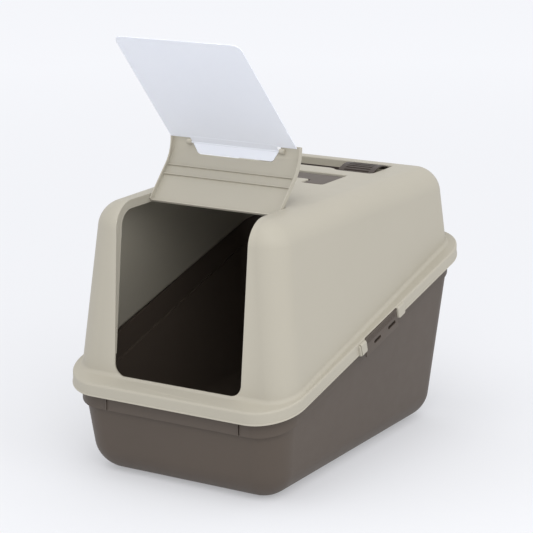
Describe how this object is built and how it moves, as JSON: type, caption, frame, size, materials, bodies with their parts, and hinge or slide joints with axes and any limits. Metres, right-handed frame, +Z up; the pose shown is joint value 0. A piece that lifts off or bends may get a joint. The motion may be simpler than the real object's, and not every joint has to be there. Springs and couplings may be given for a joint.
{
  "type": "hooded cat litter box",
  "caption": "Hooded cat litter box: deep tray, lift-off hood with lift-up front lid and swing flap, side latches, carry handle, stowed scoop and filter.",
  "frame": {"origin": "centre of the footprint, on the floor", "axes": "+Z up, the entrance faces -Y, +X is to the right seen from the front"},
  "size_m": [0.48, 0.65, 0.7544],
  "materials": {
    "taupe_plastic": "satin moulded polypropylene",
    "beige_plastic": "satin moulded polypropylene",
    "frosted_plastic": "frosted translucent",
    "carbon_foam": "open-cell carbon foam"
  },
  "bodies": {
    "tray": {"tray": "taupe_plastic"},
    "hood": {"hood": "beige_plastic"},
    "front_lid": {"front_lid": "beige_plastic"},
    "flap": {"flap": "frosted_plastic"},
    "latch_left": {"latch_left": "taupe_plastic"},
    "latch_right": {"latch_right": "taupe_plastic"},
    "carry_handle": {"carry_handle": "taupe_plastic"},
    "scoop": {"scoop": "taupe_plastic"},
    "filter": {"filter_holder": "taupe_plastic", "carbon_filter": "carbon_foam"}
  },
  "joints": [
    {"name": "hood_lift", "type": "slide", "parent": "tray", "child": "hood", "axis": [0, 0, 1], "range_m": [0, 0.25]},
    {"name": "lid_hinge", "type": "hinge", "parent": "hood", "child": "front_lid", "pos_m": [0, -0.16, 0.4655], "axis": [1, 0, 0], "range_deg": [0, 134]},
    {"name": "flap_hinge", "type": "hinge", "parent": "front_lid", "child": "flap", "pos_m": [0, -0.09777, 0.55209], "axis": [1, 0, 0], "range_deg": [-70, 75]},
    {"name": "latch_right_hinge", "type": "hinge", "parent": "hood", "child": "latch_right", "pos_m": [0.23017, -0.0065, 0.24774], "axis": [-0.0194, -0.9657, -0.2588], "range_deg": [0, 50]},
    {"name": "latch_left_hinge", "type": "hinge", "parent": "hood", "child": "latch_left", "pos_m": [-0.23017, -0.0065, 0.24774], "axis": [-0.0194, 0.9657, 0.2588], "range_deg": [0, 50]},
    {"name": "handle_hinge", "type": "hinge", "parent": "hood", "child": "carry_handle", "pos_m": [0, 0.052, 0.4635], "axis": [1, 0, 0], "range_deg": [0, 90]},
    {"name": "scoop_lift", "type": "slide", "parent": "hood", "child": "scoop", "axis": [0, 0, 1], "range_m": [0, 0.12]},
    {"name": "filter_slide", "type": "slide", "parent": "hood", "child": "filter", "axis": [0, -1, 0], "range_m": [0, 0.1]}
  ]
}
